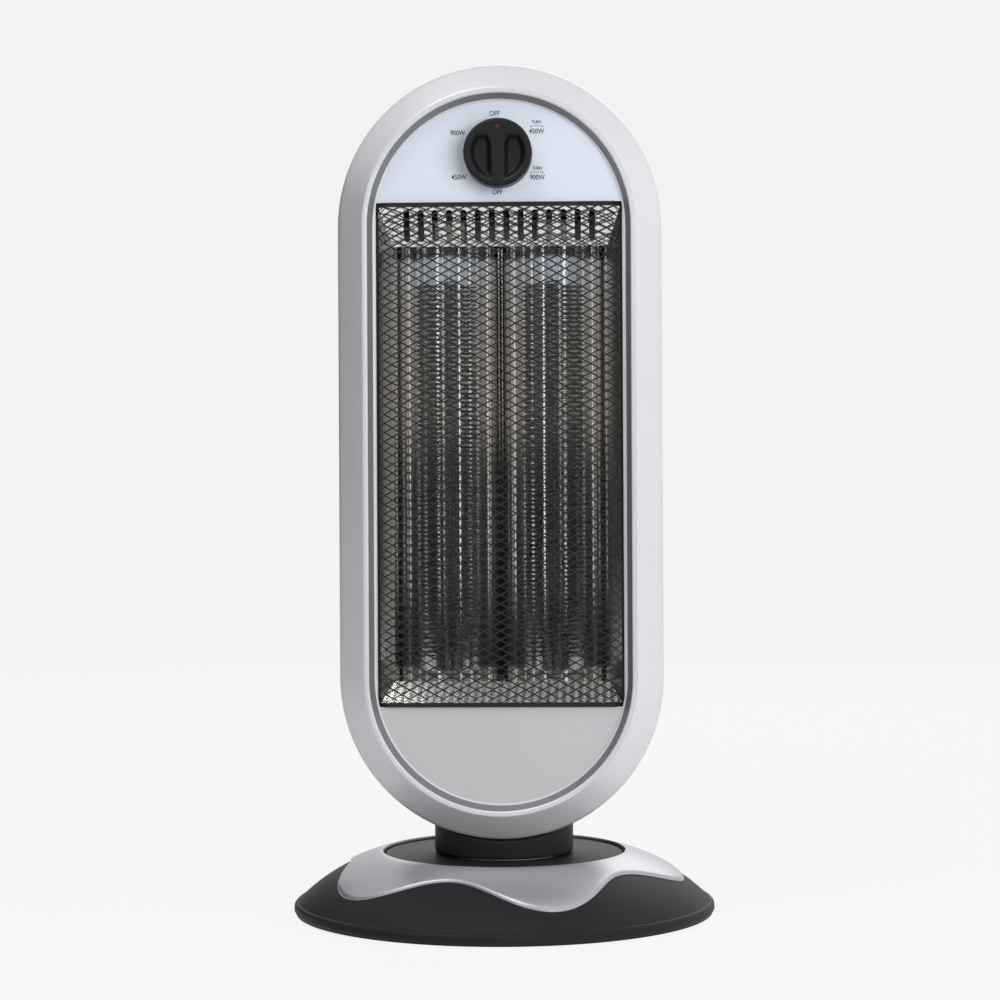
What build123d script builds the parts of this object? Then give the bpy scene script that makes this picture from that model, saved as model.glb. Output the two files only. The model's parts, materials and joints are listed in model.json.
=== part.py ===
from build123d import *
import os
from math import atan2, cos, pi, radians, sin, sqrt

# A floor-standing swinging carbon heater, in millimetres.
# The origin is on the swivel axis at floor level, +Z is up and the front faces -Y.

# Head
head_width = 220.0
head_height = 526.5
head_bottom = 54.4
bezel_front = -52.0
band_back = -36.0
bezel_back = -22.0
head_back = 45.0
shell_wall = 2.5
band_width = 17.0
rim_width = 3.9
rim_slope = 3.6
panel_face = -44.0
panel_thickness = 2.0
panel_lip = 2.4
cover_inset = 1.5
cover_taper = 5.0
cover_taper_depth = 25.0

# Window, guard and reflector
window_width = 166.8
window_bottom = 145.4
window_top = 486.6
guard_front = -46.5
guard_sheet = 0.8
guard_flat_width = 153.0
guard_columns = 8
guard_rows = 38
guard_strand = 1.6
rail_height = 2.6
sheet = 0.8
trough_radius = 34.5
trough_offset = 36.0
trough_axis = -17.0
trough_bottom = 161.5
trough_top = 458.0
wing_mouth = 83.2
wing_throat = 73.0
wing_throat_y = -26.0
slot_count = 14
slot_pitch = 9.7
slot_width = 4.2
slot_length = 21.0
plate_throat_y = -27.0

# Heating tubes
tube_spacing = 70.0
tube_radius = 6.5
tube_wall = 1.0
tube_end_depth = 10.0
coil_turns = 50
coil_bottom = 174.0
coil_top = 436.0
coil_radius = 4.3
coil_wire = 0.6
cap_width = 20.0
cap_depth = 18.0
cap_height = 16.0

# Dial and knob
knob_z = 518.6
knob_radius = 23.0
knob_front = -61.5
panel_gap = 0.8
switch_width = 34.0
bushing_radius = 4.8
shaft_radius = 3.0
running_fit = 0.06

# Swivel
neck_radius = 47.75
neck_wall = 2.5
spigot_radius = 12.0
spigot_bore = 8.5
gear_module = 1.5
pinion_teeth = 14
sector_teeth = 56
sector_span_teeth = 17
gear_thickness = 5.2
gear_bottom = 25.6
tooth_share = 0.36

# Base
base_radius = 145.0
base_wall = 2.5
disc_radius = 82.0
disc_top = 41.4
disc_thickness = 2.5
trim_thickness = 1.75
trim_gap = 0.15
plate_thickness = 2.0
foot_height = 3.0
foot_radius = 10.0
motor_radius = 25.0
motor_height = 15.6
gland_bore = 3.7
gland_height = 14.0
gland_radius = 6.0
gland_start = 118.0
switch_place = (-62.0, -30.0)
plunger_travel = 6.0

# Clearances
fit_gap = 0.1
clear_gap = 0.3
screw_gap = 0.05

head_radius = head_width / 2
head_straight = head_height - head_width
head_z = head_bottom + head_height / 2
low_arc_z = head_z - head_straight / 2
rim_outer = head_radius - band_width
rim_inner = rim_outer - rim_width
panel_opening = rim_inner - rim_slope
panel_radius = panel_opening + panel_lip
panel_back = panel_face + panel_thickness
cover_radius = head_radius - cover_inset
window_height = window_top - window_bottom
window_z = (window_top + window_bottom) / 2
guard_back = guard_front + guard_sheet
rail_back = panel_back + 2.1
guard_bottom = window_bottom + rail_height
guard_top = window_top - rail_height
trough_back = trough_axis + trough_radius + sheet
shield_y = trough_back + 2.7
tube_low = trough_bottom - tube_end_depth
tube_high = trough_top + tube_end_depth
floor_z = trough_bottom - fit_gap - sheet
roof_z = trough_top + fit_gap
axis_distance = gear_module * (pinion_teeth + sector_teeth) / 2
gear_top = gear_bottom + gear_thickness
neck_bottom = disc_top + 1.0
disc_bottom = disc_top - disc_thickness
plate_bottom = foot_height
plate_top = plate_bottom + plate_thickness

os.makedirs("parts", exist_ok=True)


def save(piece, name):
    piece.part.label = name
    export_step(piece.part, "parts/" + name + ".step")


def head_plane(y):
    """A plane across the head at depth y, its Z direction towards the front."""
    return Plane(origin=(0, y, head_z), x_dir=(1, 0, 0), z_dir=(0, -1, 0))


def front_plane(y, x=0.0, z=0.0):
    return Plane(origin=(x, y, z), x_dir=(1, 0, 0), z_dir=(0, -1, 0))


def stadium(radius):
    SlotOverall(head_straight + 2 * radius, 2 * radius, rotation=90)


def stadium_block(y_front, y_back, radius, mode=Mode.ADD):
    with BuildSketch(head_plane(y_back)) as outline:
        stadium(radius)
    extrude(outline.sketch, amount=y_back - y_front, mode=mode)


def stadium_taper(y_front, radius_front, y_back, radius_back, mode=Mode.ADD):
    with BuildSketch(head_plane(y_back)) as back_outline:
        stadium(radius_back)
    with BuildSketch(head_plane(y_front)) as front_outline:
        stadium(radius_front)
    loft([back_outline.sketch, front_outline.sketch], ruled=True, mode=mode)


def round_bar(plane, radius, length, mode=Mode.ADD):
    with BuildSketch(plane) as disc:
        Circle(radius)
    extrude(disc.sketch, amount=length, mode=mode)


def upright(x, y, z, radius, length, mode=Mode.ADD):
    round_bar(Plane(origin=(x, y, z), z_dir=(0, 0, 1)), radius, length, mode)


def block(x0, x1, y0, y1, z0, z1, mode=Mode.ADD):
    with BuildSketch(Plane.XY.offset(z0)) as footprint:
        with Locations(((x0 + x1) / 2, (y0 + y1) / 2)):
            Rectangle(x1 - x0, y1 - y0)
    extrude(footprint.sketch, amount=z1 - z0, mode=mode)


# Front bezel: a hollow sloped band, a narrow front rim and a sloped inner wall
cover_screw_x = rim_outer
cover_screw_heights = (head_z - 140.0, head_z, head_z + 140.0)
screw_radius = 1.5
boss_radius = 4.0
with BuildPart() as front_bezel:
    stadium_taper(bezel_front, rim_outer, band_back, head_radius)
    stadium_block(band_back, bezel_back, head_radius)
    hollow = head_radius - shell_wall
    stadium_taper(bezel_front + shell_wall, rim_outer - 1.0, band_back + 2.2, hollow, Mode.SUBTRACT)
    stadium_block(band_back + 2.2, bezel_back, hollow, Mode.SUBTRACT)
    stadium_taper(bezel_front + shell_wall - 0.5, rim_inner + shell_wall, panel_face,
                  panel_opening + shell_wall)
    for z in cover_screw_heights:
        for side in (-1, 1):
            round_bar(front_plane(bezel_back, side * cover_screw_x, z), boss_radius,
                      bezel_back - panel_face - 3.0 + 4.0)
    stadium_taper(bezel_front, rim_inner, panel_face, panel_opening, Mode.SUBTRACT)
    for z in cover_screw_heights:
        for side in (-1, 1):
            round_bar(front_plane(bezel_back, side * cover_screw_x, z), screw_radius + screw_gap,
                      14.5, Mode.SUBTRACT)
save(front_bezel, "front_bezel")

# Front panel with the window and the hole for the switch bushing
with BuildPart() as front_panel:
    stadium_block(panel_face, panel_back, panel_radius)
    with BuildSketch(front_plane(panel_back)):
        with Locations((0, window_z)):
            Rectangle(window_width, window_height)
        with Locations((0, knob_z)):
            Circle(bushing_radius + 0.4)
    extrude(amount=panel_thickness, mode=Mode.SUBTRACT)
save(front_panel, "front_panel")

# Guard mesh: one net with diamond gaps across the front and slots down its slanted sides
guard_half = window_width / 2 - 0.6
flat_half = guard_flat_width / 2
flank_back = panel_face + 3.0
gap_pitch_x = guard_flat_width / guard_columns
gap_pitch_z = (guard_top - guard_bottom) / guard_rows
with BuildPart() as guard_mesh:
    with BuildSketch(Plane.XY.offset(guard_bottom)):
        with BuildLine():
            Polyline(
                (-guard_half, flank_back), (-flat_half, guard_front), (flat_half, guard_front),
                (guard_half, flank_back), (guard_half - 1.1, flank_back),
                (flat_half - 0.3, guard_back), (-flat_half + 0.3, guard_back),
                (-guard_half + 1.1, flank_back), close=True)
        make_face()
    extrude(amount=guard_top - guard_bottom)
    with BuildSketch(front_plane(guard_back + 0.2)):
        for row in range(guard_rows - 1):
            z = guard_bottom + (row + 1) * gap_pitch_z
            for column in range(guard_columns - row % 2):
                x = (column - (guard_columns - 1 - row % 2) / 2) * gap_pitch_x
                half_x = gap_pitch_x / 2 - guard_strand
                half_z = gap_pitch_z - 1.5 * guard_strand
                with Locations((x, z)):
                    Polygon((-half_x, 0), (0, half_z), (half_x, 0), (0, -half_z))
    extrude(amount=guard_sheet + 0.4, mode=Mode.SUBTRACT)
save(guard_mesh, "guard_mesh")

# Guard rails: the frame that hems the net, with a shelf along the top and the bottom
rail_half = window_width / 2 - fit_gap
with BuildPart() as guard_rails:
    block(-rail_half, rail_half, flank_back + fit_gap, rail_back,
          window_bottom + fit_gap, window_top - fit_gap)
    block(-rail_half + 1.6, rail_half - 1.6, flank_back, rail_back, guard_bottom, guard_top,
          Mode.SUBTRACT)
    for z_low, z_high in ((window_bottom + fit_gap, guard_bottom), (guard_top, window_top - fit_gap)):
        with BuildSketch(Plane.XY.offset(z_low)):
            with BuildLine():
                Polyline((-guard_half, rail_back), (-guard_half, flank_back),
                         (-flat_half, guard_front), (flat_half, guard_front),
                         (guard_half, flank_back), (guard_half, rail_back), close=True)
            make_face()
        extrude(amount=z_high - z_low)
save(guard_rails, "guard_rails")

# Reflector: two half-round troughs that meet in a ridge, with slanted side wings
trough_edge = trough_offset + trough_radius
wing_front = rail_back + clear_gap
with BuildPart() as reflector:
    with BuildSketch(Plane.XY.offset(trough_bottom)):
        with Locations((-trough_offset, trough_axis), (trough_offset, trough_axis)):
            Circle(trough_radius + sheet)
        with BuildLine():
            Polyline((-trough_edge - sheet, trough_axis), (-wing_throat - sheet, wing_throat_y),
                     (wing_throat + sheet, wing_throat_y), (trough_edge + sheet, trough_axis),
                     close=True)
        make_face()
        ridge = trough_offset - trough_radius
        with Locations((0, trough_axis + ridge)):
            Rectangle(2 * ridge + 1, 2 * ridge)
        with Locations((-trough_offset, trough_axis), (trough_offset, trough_axis)):
            Circle(trough_radius, mode=Mode.SUBTRACT)
        with BuildLine():
            Polyline((-trough_edge, trough_axis), (-wing_throat, wing_throat_y),
                     (wing_throat, wing_throat_y), (trough_edge, trough_axis), close=True)
        make_face(mode=Mode.SUBTRACT)
        with Locations((0, wing_throat_y)):
            Rectangle(2 * wing_mouth, 2 * trough_radius, align=(Align.CENTER, Align.MAX),
                      mode=Mode.SUBTRACT)
    extrude(amount=trough_top - trough_bottom)
    for side in (-1, 1):
        with BuildSketch(Plane.XY.offset(window_bottom + 1.0)):
            with BuildLine():
                Polyline((side * trough_edge, trough_axis), (side * wing_throat, wing_throat_y),
                         (side * wing_mouth, wing_front), (side * (wing_mouth + sheet), wing_front),
                         (side * (wing_throat + sheet), wing_throat_y),
                         (side * (trough_edge + sheet), trough_axis), close=True)
            make_face()
        extrude(amount=window_height - 2.0)
save(reflector, "reflector")


def end_plate(tip_z, plate_z, slots):
    """A folded sheet that closes one end of the reflector, cut to lie between its wings."""
    lift = 1 if tip_z > plate_z else -1
    face_z = plate_z if lift > 0 else plate_z + sheet
    far_z = face_z + lift * sheet
    with BuildSketch(Plane.YZ.offset(-wing_mouth)) as fold:
        with BuildLine():
            Polyline((wing_front + 0.4, tip_z), (plate_throat_y, face_z), (shield_y, face_z),
                     (shield_y, far_z), (plate_throat_y + 0.6, far_z),
                     (wing_front + 1.4, tip_z), close=True)
        make_face()
    extrude(fold.sketch, amount=2 * wing_mouth)
    with BuildSketch(Plane.XY.offset(min(tip_z, plate_z) - 1)) as between_wings:
        gap = clear_gap
        with BuildLine():
            Polyline((-wing_mouth + gap, wing_front), (-wing_throat + gap, wing_throat_y),
                     (-trough_edge + gap, trough_axis), (-trough_edge + gap, shield_y),
                     (trough_edge - gap, shield_y), (trough_edge - gap, trough_axis),
                     (wing_throat - gap, wing_throat_y), (wing_mouth - gap, wing_front), close=True)
        make_face()
    extrude(between_wings.sketch, amount=abs(tip_z - plate_z) + sheet + 2, mode=Mode.INTERSECT)
    for side in (-1, 1):
        upright(side * tube_spacing / 2, 0, plate_z - 1, tube_radius + 0.5, sheet + 2, Mode.SUBTRACT)
    if slots:
        with BuildSketch(front_plane(plate_throat_y + 4)) as slot_row:
            with Locations((0, (tip_z + face_z) / 2)):
                with GridLocations(slot_pitch, 1, slot_count, 1):
                    SlotOverall(slot_length, slot_width, rotation=90)
        extrude(slot_row.sketch, amount=20, mode=Mode.SUBTRACT)


with BuildPart() as reflector_top_plate:
    end_plate(window_top - 1.2, roof_z, True)
save(reflector_top_plate, "reflector_top_plate")

with BuildPart() as reflector_bottom_plate:
    end_plate(window_bottom + 1.2, floor_z, False)
save(reflector_bottom_plate, "reflector_bottom_plate")

# Quartz tubes
for side, name in ((-1, "quartz_tube_left"), (1, "quartz_tube_right")):
    with BuildPart() as quartz_tube:
        upright(side * tube_spacing / 2, 0, tube_low, tube_radius, tube_high - tube_low)
        upright(side * tube_spacing / 2, 0, tube_low, tube_radius - tube_wall,
                tube_high - tube_low, Mode.SUBTRACT)
    save(quartz_tube, name)


# Heating coils: one wire each, wound on pairs of arcs for every half turn
def arc_middle(start, corner, end):
    """The middle of the arc whose tangents at both ends meet at the corner."""
    chord = end - start
    centre = start + chord * 0.5
    rise = corner - centre
    half_turn = atan2(rise.length, chord.length / 2)
    share = sin(half_turn / 2) / cos(half_turn / 2) / (sin(half_turn) / cos(half_turn))
    return centre + rise * share


def add_biarc(start, start_dir, end, end_dir):
    chord = end - start
    bend = 2 * (1 - start_dir.dot(end_dir))
    along = chord.dot(start_dir + end_dir)
    reach = (-along + sqrt(along * along + bend * chord.dot(chord))) / bend
    first_corner = start + start_dir * reach
    last_corner = end - end_dir * reach
    joint = (first_corner + last_corner) * 0.5
    ThreePointArc(start, arc_middle(start, first_corner, joint), joint)
    ThreePointArc(joint, arc_middle(joint, last_corner, end), end)
    return joint


coil_pitch = (coil_top - coil_bottom) / coil_turns
for side, name in ((-1, "heating_coil_left"), (1, "heating_coil_right")):
    coil_x = side * tube_spacing / 2
    rise = coil_pitch / (2 * pi)
    slope = 1 / sqrt(coil_radius ** 2 + rise ** 2)

    def coil_point(turn):
        angle = 2 * pi * turn
        return Vector(coil_x + coil_radius * cos(angle), coil_radius * sin(angle),
                      coil_bottom + coil_pitch * turn)

    def coil_dir(turn):
        angle = 2 * pi * turn
        return Vector(-coil_radius * sin(angle), coil_radius * cos(angle), rise) * slope

    with BuildPart() as heating_coil:
        with BuildLine() as coil_path:
            foot = coil_point(0) - coil_dir(0) * (2 * coil_wire)
            Line(foot, coil_point(0))
            for half in range(2 * coil_turns):
                a = half / 2
                b = a + 0.5
                add_biarc(coil_point(a), coil_dir(a), coil_point(b), coil_dir(b))
            Line(coil_point(coil_turns), coil_point(coil_turns) + coil_dir(coil_turns) * (2 * coil_wire))
        with BuildSketch(Plane(origin=foot, z_dir=coil_dir(0))):
            Circle(coil_wire)
        sweep(path=coil_path.wires()[0])
    save(heating_coil, name)

coil_points = [(coil_radius * cos(2 * pi * k / 48), coil_radius * sin(2 * pi * k / 48),
                coil_pitch * k / 48) for k in range(48 * 3)]
coil_gap = min(sqrt(sum((p - q) ** 2 for p, q in zip(coil_points[0], far)))
               for far in coil_points[24:]) - 2 * coil_wire
print("coil gap to itself", round(coil_gap, 2), "pitch", round(coil_pitch, 2))

# Ceramic end caps of the tubes
with BuildPart() as tube_end_caps:
    for side in (-1, 1):
        x = side * tube_spacing / 2
        for z_low, pocket in ((tube_low - cap_height + 8, tube_low), (tube_high - 8, tube_high - 8)):
            block(x - cap_width / 2, x + cap_width / 2, -cap_depth / 2, cap_depth / 2,
                  z_low, z_low + cap_height)
            upright(x, 0, pocket, tube_radius + fit_gap, 8, Mode.SUBTRACT)
save(tube_end_caps, "tube_end_caps")

# Brackets that hold the caps to the heat shield
cap_low = tube_low - cap_height + 8
cap_high = tube_high - 8 + cap_height
bracket_sheet = 1.2
bracket_half = tube_spacing / 2 + cap_width / 2 + 5


def tube_bracket(z_low, tab_low, tab_high):
    block(-bracket_half, bracket_half, -cap_depth / 2 - 3, shield_y - bracket_sheet, z_low,
          z_low + bracket_sheet)
    block(-bracket_half, bracket_half, shield_y - bracket_sheet, shield_y, tab_low, tab_high)


with BuildPart() as upper_bracket:
    tube_bracket(cap_high + fit_gap, cap_high + fit_gap - 12, cap_high + fit_gap + bracket_sheet)
save(upper_bracket, "upper_bracket")

with BuildPart() as lower_bracket:
    bracket_low = cap_low - fit_gap - bracket_sheet
    tube_bracket(bracket_low, bracket_low, bracket_low + 12)
save(lower_bracket, "lower_bracket")

# Heat shield behind the reflector
shield_half = 78.0
shield_low = cap_low - 10
shield_high = cap_high + 10
with BuildPart() as heat_shield:
    block(-shield_half, shield_half, shield_y, shield_y + sheet, shield_low, shield_high)
    with BuildSketch(front_plane(shield_y + 2 * sheet)):
        with Locations((0, shield_high - 6)):
            with GridLocations(24, 1, 5, 1):
                SlotOverall(16, 4)
    extrude(amount=3 * sheet, mode=Mode.SUBTRACT)
save(heat_shield, "heat_shield")

# Rear cover with louvres, a hand grip, posts for the shield and screw bosses
grip_width = 92.0
grip_height = 24.0
grip_depth = 22.0
grip_z = head_z + 196.0
taper_front = head_back - cover_taper_depth
cover_back_radius = cover_radius - cover_taper
screw_head_radius = 3.2
head_pocket = 5.0
neck_column_x = 28.0
neck_column_y = 16.0
louvre_width = 64.0
louvre_height = 3.2
post_places = ((-60, head_z - 120), (60, head_z - 120), (-60, head_z + 120), (60, head_z + 120))
with BuildPart() as rear_cover:
    stadium_block(bezel_back, taper_front, cover_radius)
    stadium_taper(taper_front, cover_radius, head_back, cover_back_radius)
    inner_back = head_back - shell_wall
    stadium_block(bezel_back, taper_front, cover_radius - shell_wall, Mode.SUBTRACT)
    stadium_taper(taper_front, cover_radius - shell_wall, inner_back,
                  cover_back_radius - shell_wall, Mode.SUBTRACT)
    with BuildSketch(front_plane(inner_back)):
        with Locations((0, grip_z)):
            RectangleRounded(grip_width + 2 * shell_wall, grip_height + 2 * shell_wall, 6)
    extrude(amount=grip_depth)
    with BuildSketch(front_plane(head_back)):
        with Locations((0, grip_z)):
            RectangleRounded(grip_width, grip_height, 4)
    extrude(amount=grip_depth, mode=Mode.SUBTRACT)
    for x, z in post_places:
        round_bar(front_plane(inner_back, x, z), 4.0, inner_back - shield_y - sheet)
    for z in cover_screw_heights:
        for side in (-1, 1):
            place = front_plane(inner_back, side * cover_screw_x, z)
            round_bar(place, boss_radius + 1, inner_back - bezel_back)
            round_bar(front_plane(head_back, side * cover_screw_x, z), screw_head_radius + clear_gap,
                      head_pocket, Mode.SUBTRACT)
            round_bar(place, screw_radius + 2 * screw_gap, inner_back - bezel_back, Mode.SUBTRACT)
    cover_floor = low_arc_z - sqrt((cover_radius - shell_wall) ** 2 - neck_column_x ** 2)
    pad_top = cover_floor + 4.5
    for x in (-neck_column_x, neck_column_x):
        for y in (-neck_column_y, neck_column_y):
            upright(x, y, cover_floor - 0.8, 5.0, pad_top - cover_floor + 0.8)
            upright(x, y, cover_floor - 8, 2.1, pad_top - cover_floor + 8, Mode.SUBTRACT)
    upright(0, 0, head_bottom - 2, spigot_bore, 14, Mode.SUBTRACT)
    with BuildSketch(front_plane(head_back)):
        for middle in (head_z + 140.0, head_z - 130.0):
            with Locations((0, middle)):
                with GridLocations(0, 8.0, 1, 9):
                    SlotOverall(louvre_width, louvre_height)
    extrude(amount=shell_wall, mode=Mode.SUBTRACT)
save(rear_cover, "rear_cover")


# Screws: a round head, a shank and a cross cut in the head
def screw(plane, head_radius, head_height, radius, length):
    """A screw whose head sits on the plane and whose shank goes down into it."""
    round_bar(plane, head_radius, head_height)
    round_bar(plane, radius, -length)
    with BuildSketch(plane.offset(head_height)) as cross:
        Rectangle(head_radius * 1.3, head_radius * 0.28)
        Rectangle(head_radius * 0.28, head_radius * 1.3)
    extrude(cross.sketch, amount=-head_height * 0.5, mode=Mode.SUBTRACT)


def back_plane(y, x, z):
    return Plane(origin=(x, y, z), x_dir=(-1, 0, 0), z_dir=(0, 1, 0))


with BuildPart() as cover_screws:
    for z in cover_screw_heights:
        for side in (-1, 1):
            screw(back_plane(head_back - head_pocket, side * cover_screw_x, z), screw_head_radius,
                  2.0, screw_radius, head_back - head_pocket - bezel_back + 13.5)
save(cover_screws, "cover_screws")

# Rotary switch, its nut and its shaft
switch_front = panel_back + fit_gap
switch_depth = 23.0
bushing_end = panel_face - 3.0
with BuildPart() as rotary_switch:
    with BuildSketch(front_plane(switch_front + switch_depth)):
        with Locations((0, knob_z)):
            RectangleRounded(switch_width, switch_width, 3)
    extrude(amount=switch_depth)
    round_bar(front_plane(switch_front, 0, knob_z), bushing_radius, switch_front - bushing_end)
    round_bar(front_plane(switch_front + 4, 0, knob_z), shaft_radius + running_fit,
              switch_front + 4 - bushing_end, Mode.SUBTRACT)
    with BuildSketch(front_plane(switch_front + switch_depth + 6)):
        with Locations((0, knob_z)):
            with GridLocations(10, 10, 3, 2):
                Rectangle(6.3, 0.8)
    extrude(amount=7)
save(rotary_switch, "rotary_switch")

with BuildPart() as switch_nut:
    with BuildSketch(front_plane(panel_face - fit_gap)):
        with Locations((0, knob_z)):
            RegularPolygon(7.5, 6)
            Circle(bushing_radius + screw_gap, mode=Mode.SUBTRACT)
    extrude(amount=2.4)
save(switch_nut, "switch_nut")

hub_front = knob_front + 4.0
with BuildPart() as switch_shaft:
    round_bar(front_plane(switch_front + 3, 0, knob_z), shaft_radius,
              switch_front + 3 - hub_front - clear_gap)
save(switch_shaft, "switch_shaft")

# Control knob: a round cap with two scooped recesses either side of an upright grip
knob_back = panel_face - panel_gap
grip_half = 3.4
scoop_radius = 20.0
scoop_depth = 5.0
scoop_top = 13.0
marker_height = 17.6
marker_radius = 1.3
with BuildPart() as control_knob:
    round_bar(front_plane(knob_back, 0, knob_z), knob_radius, knob_back - knob_front)
    fillet(control_knob.edges().sort_by(Axis.Y)[0], radius=1.6)
    with BuildSketch(front_plane(knob_front)):
        with Locations((0, knob_z)):
            Circle(scoop_radius)
            with Locations((0, scoop_top + scoop_radius)):
                Rectangle(2 * scoop_radius, 2 * scoop_radius, mode=Mode.SUBTRACT)
            Polygon((-grip_half, -scoop_radius - 1), (grip_half, -scoop_radius - 1),
                    (grip_half, 4), (grip_half + 3.5, scoop_top + 1),
                    (-grip_half - 3.5, scoop_top + 1), (-grip_half, 4), align=None,
                    mode=Mode.SUBTRACT)
    extrude(amount=-scoop_depth, taper=14, mode=Mode.SUBTRACT)
    with BuildSketch(front_plane(knob_back)):
        with Locations((0, knob_z)):
            Circle(knob_radius - 3)
            Circle(6.0, mode=Mode.SUBTRACT)
    extrude(amount=5.5, mode=Mode.SUBTRACT)
    round_bar(front_plane(knob_back, 0, knob_z), 9.0, bushing_end * -1 + knob_back + clear_gap,
              Mode.SUBTRACT)
    round_bar(front_plane(knob_back, 0, knob_z), shaft_radius + screw_gap, knob_back - hub_front,
              Mode.SUBTRACT)
    round_bar(front_plane(knob_front + 0.8, 0, knob_z + marker_height), marker_radius + screw_gap,
              0.8, Mode.SUBTRACT)
save(control_knob, "control_knob")

with BuildPart() as knob_marker:
    round_bar(front_plane(knob_front + 0.8, 0, knob_z + marker_height), marker_radius, 0.75)
save(knob_marker, "knob_marker")

# Electrical pieces on the back of the shield
back_of_shield = shield_y + sheet
terminal_z = head_z - 60.0
with BuildPart() as thermal_cutout:
    round_bar(front_plane(back_of_shield + 6, 30, head_z + 90), 8, 6)
    block(17, 43, back_of_shield, back_of_shield + 1, head_z + 86, head_z + 94)
save(thermal_cutout, "thermal_cutout")

with BuildPart() as head_terminal_block:
    block(-20, 20, back_of_shield, back_of_shield + 10, terminal_z, terminal_z + 15)
    with BuildSketch(front_plane(back_of_shield + 10)):
        with Locations((0, terminal_z + 7.5)):
            with GridLocations(12, 1, 3, 1):
                Circle(2)
    extrude(amount=4, mode=Mode.SUBTRACT)
save(head_terminal_block, "head_terminal_block")


def wire_run(points, wire_radius, bend):
    """A round wire along straight runs joined by arcs."""
    with BuildLine() as route:
        FilletPolyline(*points, radius=bend)
    start = Vector(*points[0])
    with BuildSketch(Plane(origin=start, z_dir=Vector(*points[1]) - start)) as section:
        Circle(wire_radius)
    sweep(section.sketch, path=route.wires()[0])


harness_y = back_of_shield + 5
switch_tail = switch_front + switch_depth + 6
with BuildPart() as head_wiring:
    wire_run([(0, 0, 20), (0, 0, head_bottom + 36), (0, harness_y, head_bottom + 70),
              (0, harness_y, terminal_z - clear_gap)], 3.0, 14)
    wire_run([(-8, harness_y, terminal_z + 15 + clear_gap), (-8, harness_y, knob_z - 26),
              (-8, switch_tail + 9, knob_z - 26), (-8, switch_tail + 9, knob_z - 5),
              (-8, switch_tail + clear_gap, knob_z - 5)], 2.0, 4)
save(head_wiring, "head_wiring")

# Neck: a round drum that turns on the base and carries the head
head_saddle = head_radius + clear_gap
cover_saddle = cover_radius + clear_gap
column_radius = 4.5
neck_ledge_y = -27.0
floor_top = neck_bottom + neck_wall
with BuildPart() as neck:
    upright(0, 0, neck_bottom, neck_radius, 50)
    fillet(neck.edges().sort_by(Axis.Z)[0], radius=2.0)
    upright(0, 0, floor_top, neck_radius - neck_wall, 50, Mode.SUBTRACT)
    with BuildSketch(Plane.XY.offset(floor_top)):
        Circle(neck_radius - neck_wall / 2)
        with Locations((0, neck_ledge_y)):
            Rectangle(2 * neck_radius, 2 * neck_radius, align=(Align.CENTER, Align.MIN),
                      mode=Mode.SUBTRACT)
    extrude(amount=50)
    for x in (-neck_column_x, neck_column_x):
        for y in (-neck_column_y, neck_column_y):
            upright(x, y, neck_bottom + 1, column_radius, 45)
            upright(x, y, floor_top, screw_radius + 0.3 + screw_gap, 46, Mode.SUBTRACT)
    stadium_block(-neck_radius - 1, bezel_back + clear_gap, head_saddle, Mode.SUBTRACT)
    stadium_block(bezel_back, neck_radius + 1, cover_saddle, Mode.SUBTRACT)
    upright(0, 0, neck_bottom, spigot_radius + fit_gap, neck_wall, Mode.SUBTRACT)
    for angle in (45, 135, 225, 315):
        upright(17 * cos(radians(angle)), 17 * sin(radians(angle)), neck_bottom, 1.5 + screw_gap,
                neck_wall, Mode.SUBTRACT)
save(neck, "neck")

with BuildPart() as neck_screws:
    for x in (-neck_column_x, neck_column_x):
        for y in (-neck_column_y, neck_column_y):
            place = Plane(origin=(x, y, pad_top), z_dir=(0, 0, 1))
            screw(place, 3.8, 2.2, screw_radius + 0.3, pad_top - floor_top - 1)
save(neck_screws, "neck_screws")

# Swivel spigot, its screws, the bush it turns in and the ring the neck glides on
bush_wall = 3.0
flange_top = floor_top + 2.6
with BuildPart() as swivel_spigot:
    upright(0, 0, gear_bottom, spigot_radius, flange_top - gear_bottom)
    upright(0, 0, floor_top, 21.0, flange_top - floor_top)
    upright(0, 0, gear_bottom, spigot_bore, flange_top - gear_bottom, Mode.SUBTRACT)
    for angle in (45, 135, 225, 315):
        upright(17 * cos(radians(angle)), 17 * sin(radians(angle)), floor_top, 1.5 + screw_gap,
                flange_top - floor_top, Mode.SUBTRACT)
    for angle in (0, 120, 240):
        upright(10.2 * cos(radians(angle)), 10.2 * sin(radians(angle)), gear_bottom,
                1.0 + screw_gap, 9, Mode.SUBTRACT)
save(swivel_spigot, "swivel_spigot")

with BuildPart() as spigot_screws:
    for angle in (45, 135, 225, 315):
        place = Plane(origin=(17 * cos(radians(angle)), 17 * sin(radians(angle)), flange_top),
                      z_dir=(0, 0, 1))
        screw(place, 3.0, 1.8, 1.5, flange_top - neck_bottom - 0.2)
save(spigot_screws, "spigot_screws")

bush_bottom = gear_top + clear_gap
with BuildPart() as spigot_bush:
    upright(0, 0, bush_bottom, spigot_radius + running_fit + bush_wall, disc_top - bush_bottom)
    upright(0, 0, disc_top, spigot_radius + running_fit + bush_wall + 3, 0.6)
    upright(0, 0, bush_bottom, spigot_radius + running_fit, disc_top + 0.6 - bush_bottom,
            Mode.SUBTRACT)
save(spigot_bush, "spigot_bush")

glide_inner = 36.0
glide_outer = 42.0
with BuildPart() as glide_ring:
    upright(0, 0, disc_top - 1, glide_outer, 1 + neck_bottom - disc_top - clear_gap)
    upright(0, 0, disc_top - 1, glide_inner, 3, Mode.SUBTRACT)
save(glide_ring, "glide_ring")


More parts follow.
